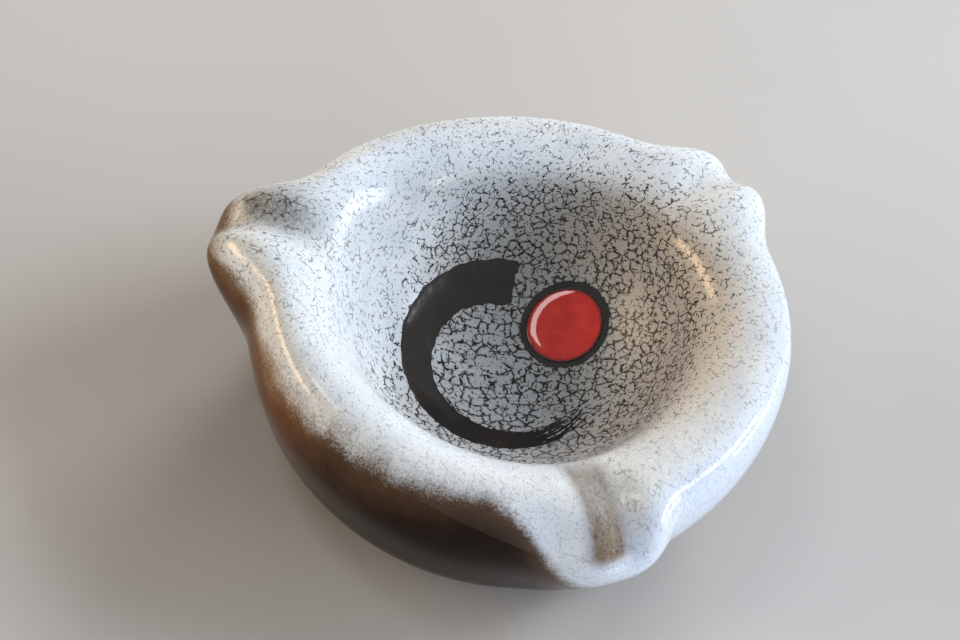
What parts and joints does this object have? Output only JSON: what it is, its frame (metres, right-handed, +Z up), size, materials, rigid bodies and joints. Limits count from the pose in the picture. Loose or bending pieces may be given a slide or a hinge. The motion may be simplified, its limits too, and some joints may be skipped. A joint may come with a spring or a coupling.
{
  "type": "catchall dish",
  "caption": "Heavy round ceramic catchall dish with a fat rolled rim, spout-shaped grooved rests, a deep well and a flat foot, in dark glaze under white crackle.",
  "frame": {"origin": "centre of the flat foot, on the surface that the dish stands on", "axes": "+Z up out of the well, -Y towards the side with the front rest, -X towards the left rest"},
  "size_m": [0.1446, 0.1348, 0.053],
  "materials": {
    "bare_clay": "bare fired clay, matt and slightly gritty",
    "dark_glaze": "glossy brown-black glaze, mottled tan where it thins",
    "white_crackle_glaze": "glossy cool white glaze broken into a fine crackle that shows the dark glaze beneath",
    "black_brush_glaze": "smooth glossy brown-black glaze laid with a brush",
    "red_glaze": "thick glossy red glaze, domed like a drop"
  },
  "bodies": {
    "root": {"clay_body": "bare_clay", "base_glaze": "dark_glaze", "white_glaze": "white_crackle_glaze", "brushed_ring": "black_brush_glaze", "drop_outline": "black_brush_glaze", "red_drop": "red_glaze"}
  },
  "joints": []
}
